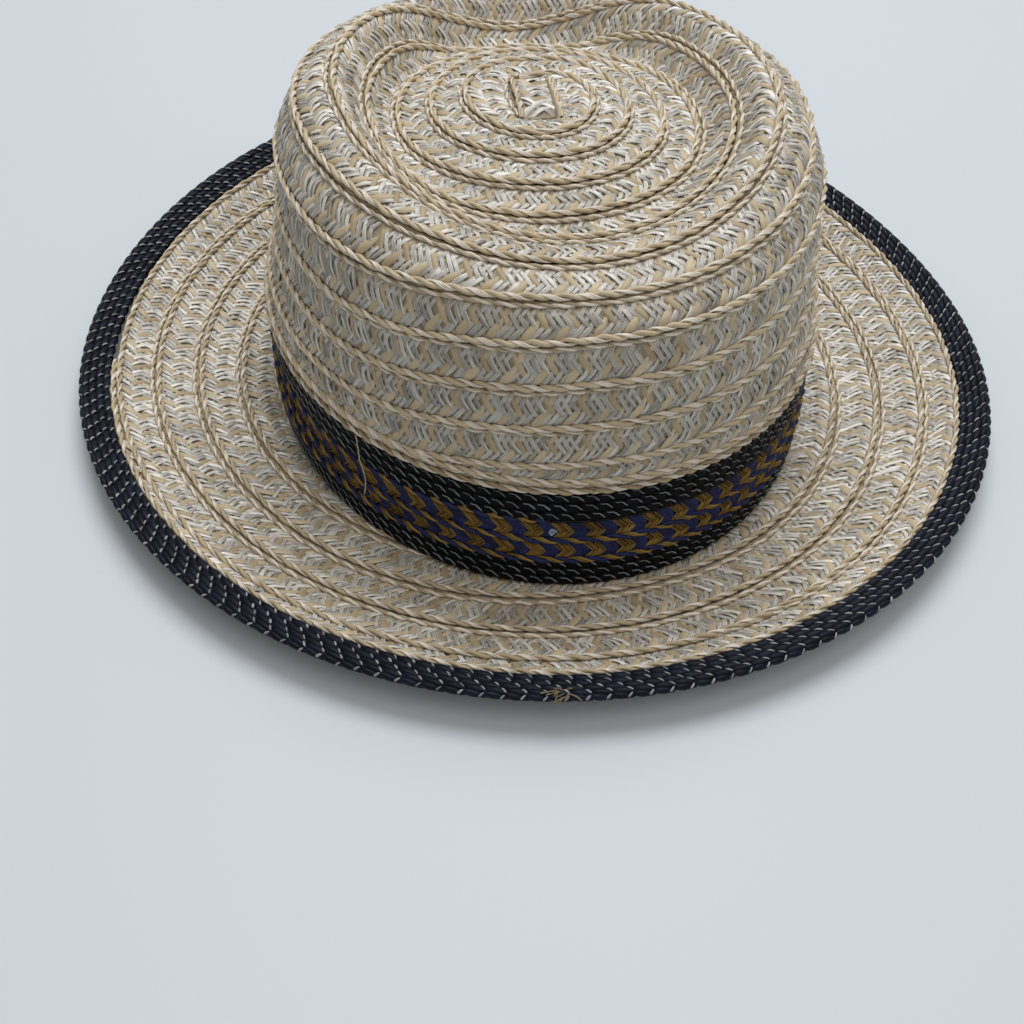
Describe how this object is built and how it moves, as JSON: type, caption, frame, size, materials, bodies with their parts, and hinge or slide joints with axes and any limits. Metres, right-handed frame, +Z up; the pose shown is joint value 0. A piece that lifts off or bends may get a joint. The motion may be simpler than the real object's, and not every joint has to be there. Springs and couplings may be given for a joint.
{
  "type": "straw hat",
  "caption": "Sewn straw hat with a teardrop crown, a dark patterned band sewn into the crown's base and a curved brim with a dark bound edge.",
  "frame": {"origin": "on the surface the hat stands on, under the middle of the hat's outline", "axes": "-Y towards the front of the hat, +X towards the wearer's left, +Z up"},
  "size_m": [0.2916, 0.2952, 0.101],
  "materials": {
    "crown_top_braid": "plaited natural straw and white filament, sewn in a spiral",
    "crown_crease_braid": "plaited natural straw and white filament, sewn in a spiral",
    "crown_shoulder_braid": "plaited natural straw and white filament, sewn in a spiral",
    "crown_upper_side_braid": "plaited natural straw and white filament, sewn in a spiral",
    "crown_lower_side_braid": "plaited natural straw and white filament, sewn in a spiral",
    "band_upper_braid": "black plait with fine grey thread",
    "band_pattern_braid": "dark blue and mustard chevron plait",
    "band_lower_braid": "black plait with fine grey thread",
    "brim_inner_braid": "plaited natural straw and white filament, sewn in a spiral",
    "brim_braid": "plaited natural straw and white filament, sewn in a spiral",
    "brim_edge_braid": "dark navy plait with three cord-like ridges",
    "loose_thread_end": "pale sewing thread",
    "crown_seam_thread": "pale sewing thread",
    "band_seam_thread": "black sewing thread",
    "brim_seam_thread": "pale sewing thread",
    "edge_seam_thread": "pale sewing thread",
    "sweatband": "cream woven sweatband",
    "sweatband_seam_thread": "pale sewing thread",
    "sweatband_join_tape": "off-white woven tape",
    "size_tab": "plain off-white woven tab"
  },
  "bodies": {
    "root": {"crown_top_braid": "crown_top_braid", "crown_crease_braid": "crown_crease_braid", "crown_shoulder_braid": "crown_shoulder_braid", "crown_upper_side_braid": "crown_upper_side_braid", "crown_lower_side_braid": "crown_lower_side_braid", "band_upper_braid": "band_upper_braid", "band_pattern_braid": "band_pattern_braid", "band_lower_braid": "band_lower_braid", "brim_inner_braid": "brim_inner_braid", "brim_braid": "brim_braid", "brim_edge_braid": "brim_edge_braid", "loose_thread_end": "loose_thread_end", "crown_seam_thread": "crown_seam_thread", "band_seam_thread": "band_seam_thread", "brim_seam_thread": "brim_seam_thread", "edge_seam_thread": "edge_seam_thread", "sweatband": "sweatband", "sweatband_seam_thread": "sweatband_seam_thread", "sweatband_join_tape": "sweatband_join_tape", "size_tab": "size_tab"}
  },
  "joints": []
}
